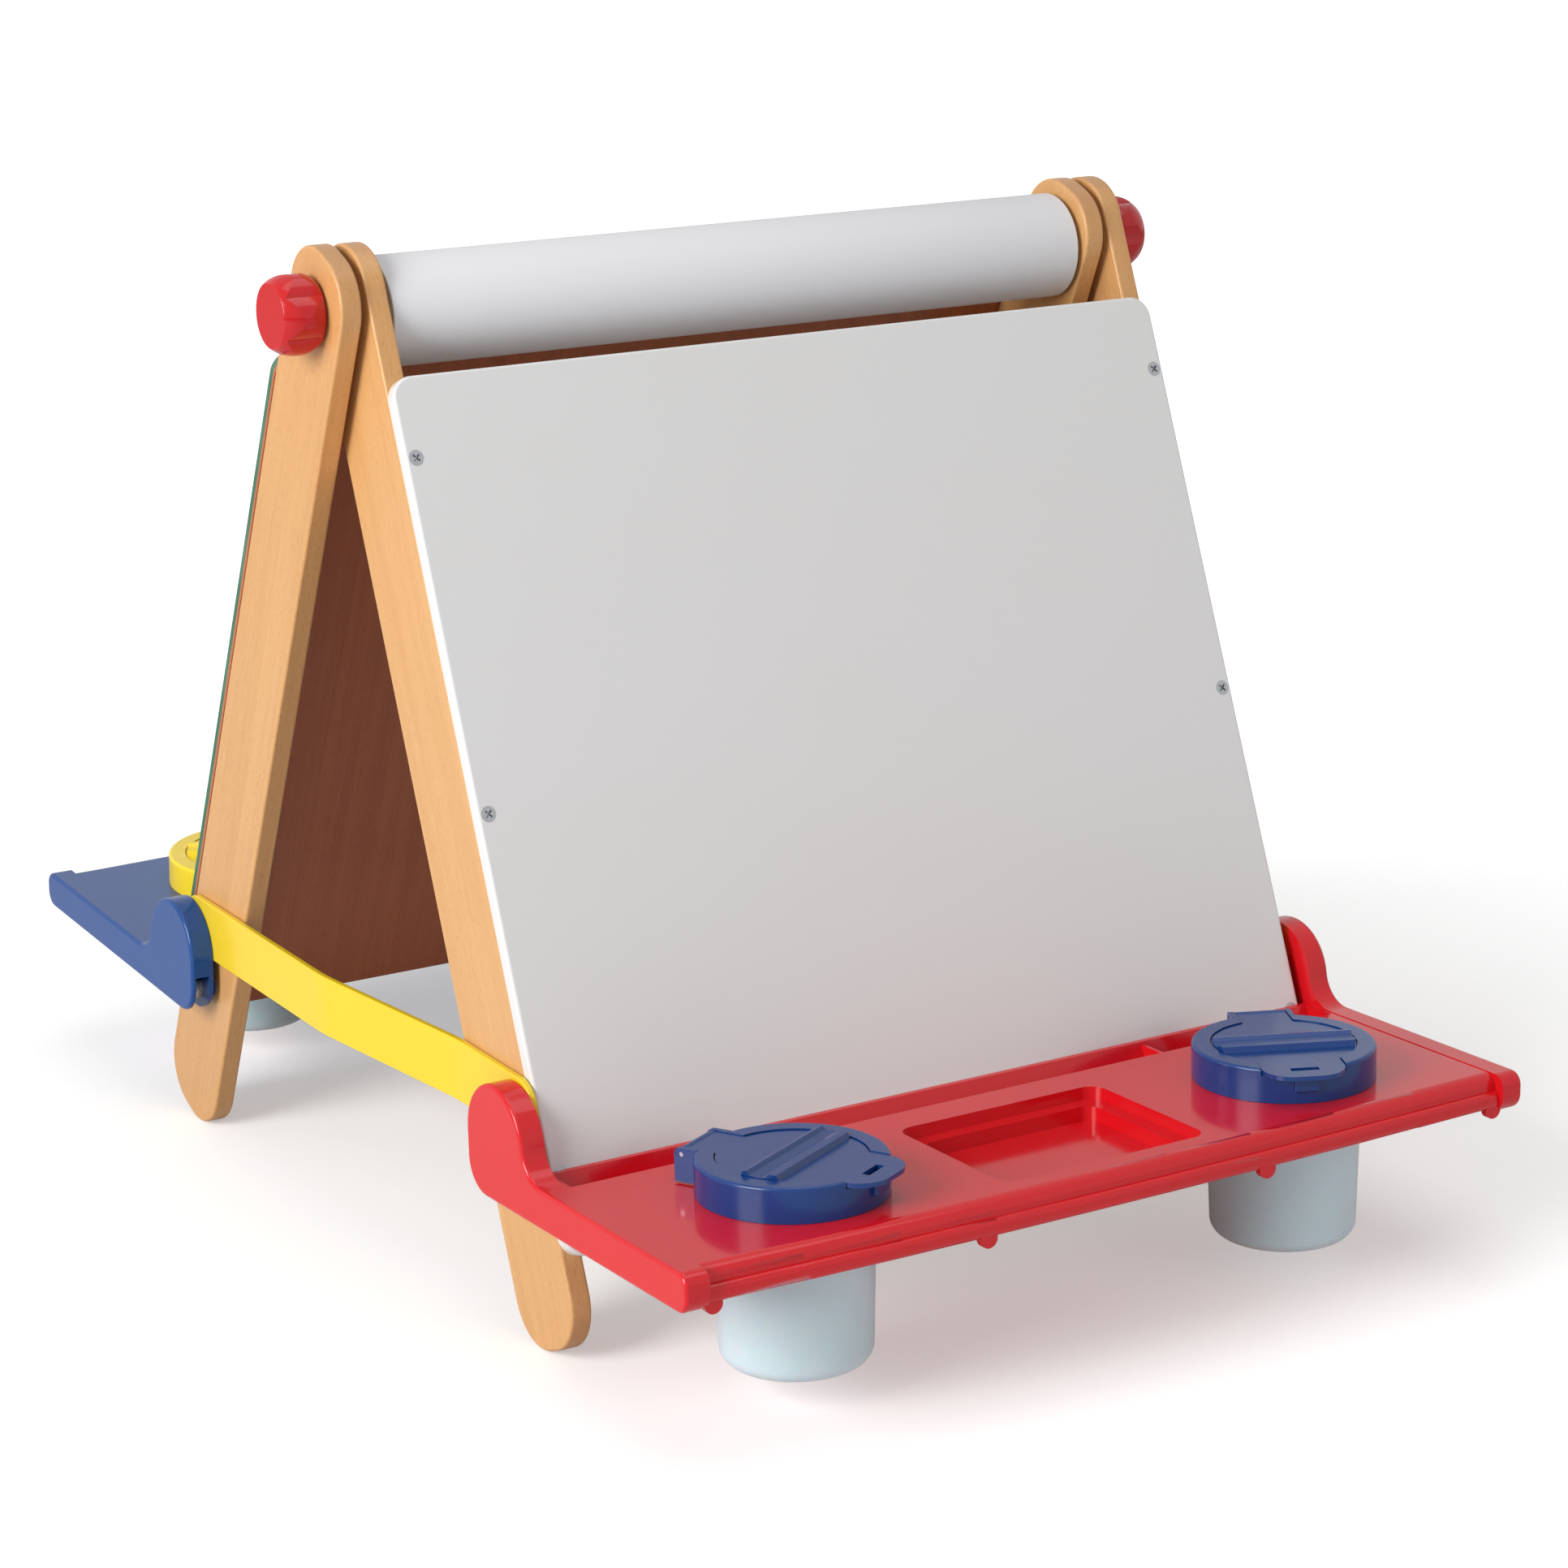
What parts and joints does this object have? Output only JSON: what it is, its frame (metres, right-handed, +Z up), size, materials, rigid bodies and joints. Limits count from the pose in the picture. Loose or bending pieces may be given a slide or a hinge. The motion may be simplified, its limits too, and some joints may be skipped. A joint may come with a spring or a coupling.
{
  "type": "tabletop easel",
  "caption": "Folding double-sided tabletop easel with whiteboard, chalkboard, paper roll on a top bar, two trays with lidded paint cups, side braces and lobed knobs.",
  "frame": {"origin": "centre of the footprint, on the surface the easel stands on", "axes": "+X along the fold axis, -Y the side the whiteboard faces, +Z up"},
  "size_m": [0.5436, 0.7496, 0.5412],
  "materials": {
    "beech": "clear satin lacquer",
    "dowel_beech": "sanded, bare",
    "white_laminate": "gloss dry-wipe laminate",
    "chalk_paint": "matt chalkboard paint",
    "backing_veneer": "thin stained veneer",
    "zinc_steel": "zinc plated",
    "insert_brass": "turned and knurled",
    "spacer_nylon": "moulded nylon",
    "red_plastic": "injection moulded, gloss",
    "knob_red_plastic": "injection moulded, gloss",
    "blue_plastic": "injection moulded, satin gloss",
    "lid_blue_plastic": "injection moulded, satin",
    "lid_yellow_plastic": "injection moulded, satin",
    "brace_yellow_plastic": "injection moulded, satin gloss",
    "frosted_plastic": "blow-moulded translucent polyethylene",
    "white_paper": "uncoated drawing paper",
    "core_board": "spiral wound board"
  },
  "bodies": {
    "front_frame": {"front_left_leg": "beech", "front_right_leg": "beech", "whiteboard": "white_laminate", "front_board_screws": "zinc_steel", "red_tray": "red_plastic", "front_tray_bolts": "zinc_steel", "front_tray_nuts": "zinc_steel", "roll_dowel": "dowel_beech", "dowel_inserts": "insert_brass", "hinge_spacers": "spacer_nylon", "knob_washers": "zinc_steel"},
    "rear_frame": {"rear_left_leg": "beech", "rear_right_leg": "beech", "chalkboard": "chalk_paint", "chalkboard_backing": "backing_veneer", "rear_board_screws": "zinc_steel", "blue_tray": "blue_plastic", "rear_tray_bolts": "zinc_steel", "rear_tray_nuts": "zinc_steel"},
    "left_brace": {"brace_left": "brace_yellow_plastic"},
    "right_brace": {"brace_right": "brace_yellow_plastic"},
    "left_knob": {"knob_left": "knob_red_plastic", "knob_stud_left": "zinc_steel"},
    "right_knob": {"knob_right": "knob_red_plastic", "knob_stud_right": "zinc_steel"},
    "roll": {"paper_roll": "white_paper", "roll_core": "core_board"},
    "cup_front_left": {"cup_front_left": "frosted_plastic", "lid_front_left": "lid_blue_plastic", "flap_pin_front_left": "zinc_steel"},
    "flap_front_left": {"flap_front_left": "lid_blue_plastic"},
    "cup_front_right": {"cup_front_right": "frosted_plastic", "lid_front_right": "lid_blue_plastic", "flap_pin_front_right": "zinc_steel"},
    "flap_front_right": {"flap_front_right": "lid_blue_plastic"},
    "cup_rear_left": {"cup_rear_left": "frosted_plastic", "lid_rear_left": "lid_yellow_plastic", "flap_pin_rear_left": "zinc_steel"},
    "flap_rear_left": {"flap_rear_left": "lid_yellow_plastic"},
    "cup_rear_right": {"cup_rear_right": "frosted_plastic", "lid_rear_right": "lid_yellow_plastic", "flap_pin_rear_right": "zinc_steel"},
    "flap_rear_right": {"flap_rear_right": "lid_yellow_plastic"}
  },
  "joints": [
    {"name": "fold", "type": "hinge", "parent": "front_frame", "child": "rear_frame", "pos_m": [0, 0, 0.5071], "axis": [-1, 0, 0], "range_deg": [0, 37]},
    {"name": "left_brace_swing", "type": "hinge", "parent": "front_frame", "child": "left_brace", "pos_m": [-0.2329, -0.17605, 0.1278], "axis": [1, 0, 0], "range_deg": [0, 74.1]},
    {"name": "right_brace_swing", "type": "hinge", "parent": "rear_frame", "child": "right_brace", "pos_m": [0.2329, 0.17605, 0.1278], "axis": [-1, 0, 0], "range_deg": [0, 74.1]},
    {"name": "left_knob_turn", "type": "hinge", "parent": "front_frame", "child": "left_knob", "pos_m": [-0.26, 0, 0.5071], "axis": [-1, 0, 0], "continuous": true},
    {"name": "right_knob_turn", "type": "hinge", "parent": "front_frame", "child": "right_knob", "pos_m": [0.26, 0, 0.5071], "axis": [1, 0, 0], "continuous": true},
    {"name": "roll_turn", "type": "hinge", "parent": "front_frame", "child": "roll", "pos_m": [0, 0, 0.5039], "axis": [1, 0, 0], "continuous": true},
    {"name": "cup_front_left_lift", "type": "slide", "parent": "front_frame", "child": "cup_front_left", "axis": [0, 0.0436, 0.999], "range_m": [0, 0.11]},
    {"name": "flap_front_left_open", "type": "hinge", "parent": "cup_front_left", "child": "flap_front_left", "pos_m": [-0.17041, -0.2534, 0.11883], "axis": [-0.8829, -0.469, 0.0205], "range_deg": [0, 110]},
    {"name": "cup_rear_right_lift", "type": "slide", "parent": "rear_frame", "child": "cup_rear_right", "axis": [0, -0.0436, 0.999], "range_m": [0, 0.11]},
    {"name": "flap_rear_right_open", "type": "hinge", "parent": "cup_rear_right", "child": "flap_rear_right", "pos_m": [0.17041, 0.2534, 0.11883], "axis": [0.8829, 0.469, 0.0205], "range_deg": [0, 110]},
    {"name": "cup_front_right_lift", "type": "slide", "parent": "front_frame", "child": "cup_front_right", "axis": [0, 0.0436, 0.999], "range_m": [0, 0.11]},
    {"name": "flap_front_right_open", "type": "hinge", "parent": "cup_front_right", "child": "flap_front_right", "pos_m": [0.1844, -0.25214, 0.11878], "axis": [-0.9063, 0.4222, -0.0184], "range_deg": [0, 110]},
    {"name": "cup_rear_left_lift", "type": "slide", "parent": "rear_frame", "child": "cup_rear_left", "axis": [0, -0.0436, 0.999], "range_m": [0, 0.11]},
    {"name": "flap_rear_left_open", "type": "hinge", "parent": "cup_rear_left", "child": "flap_rear_left", "pos_m": [-0.1844, 0.25214, 0.11878], "axis": [0.9063, -0.4222, -0.0184], "range_deg": [0, 110]}
  ],
  "couplings": [
    {"joint": "left_brace_swing", "follows": "fold", "ratio": 2},
    {"joint": "right_brace_swing", "follows": "fold", "ratio": 2}
  ]
}
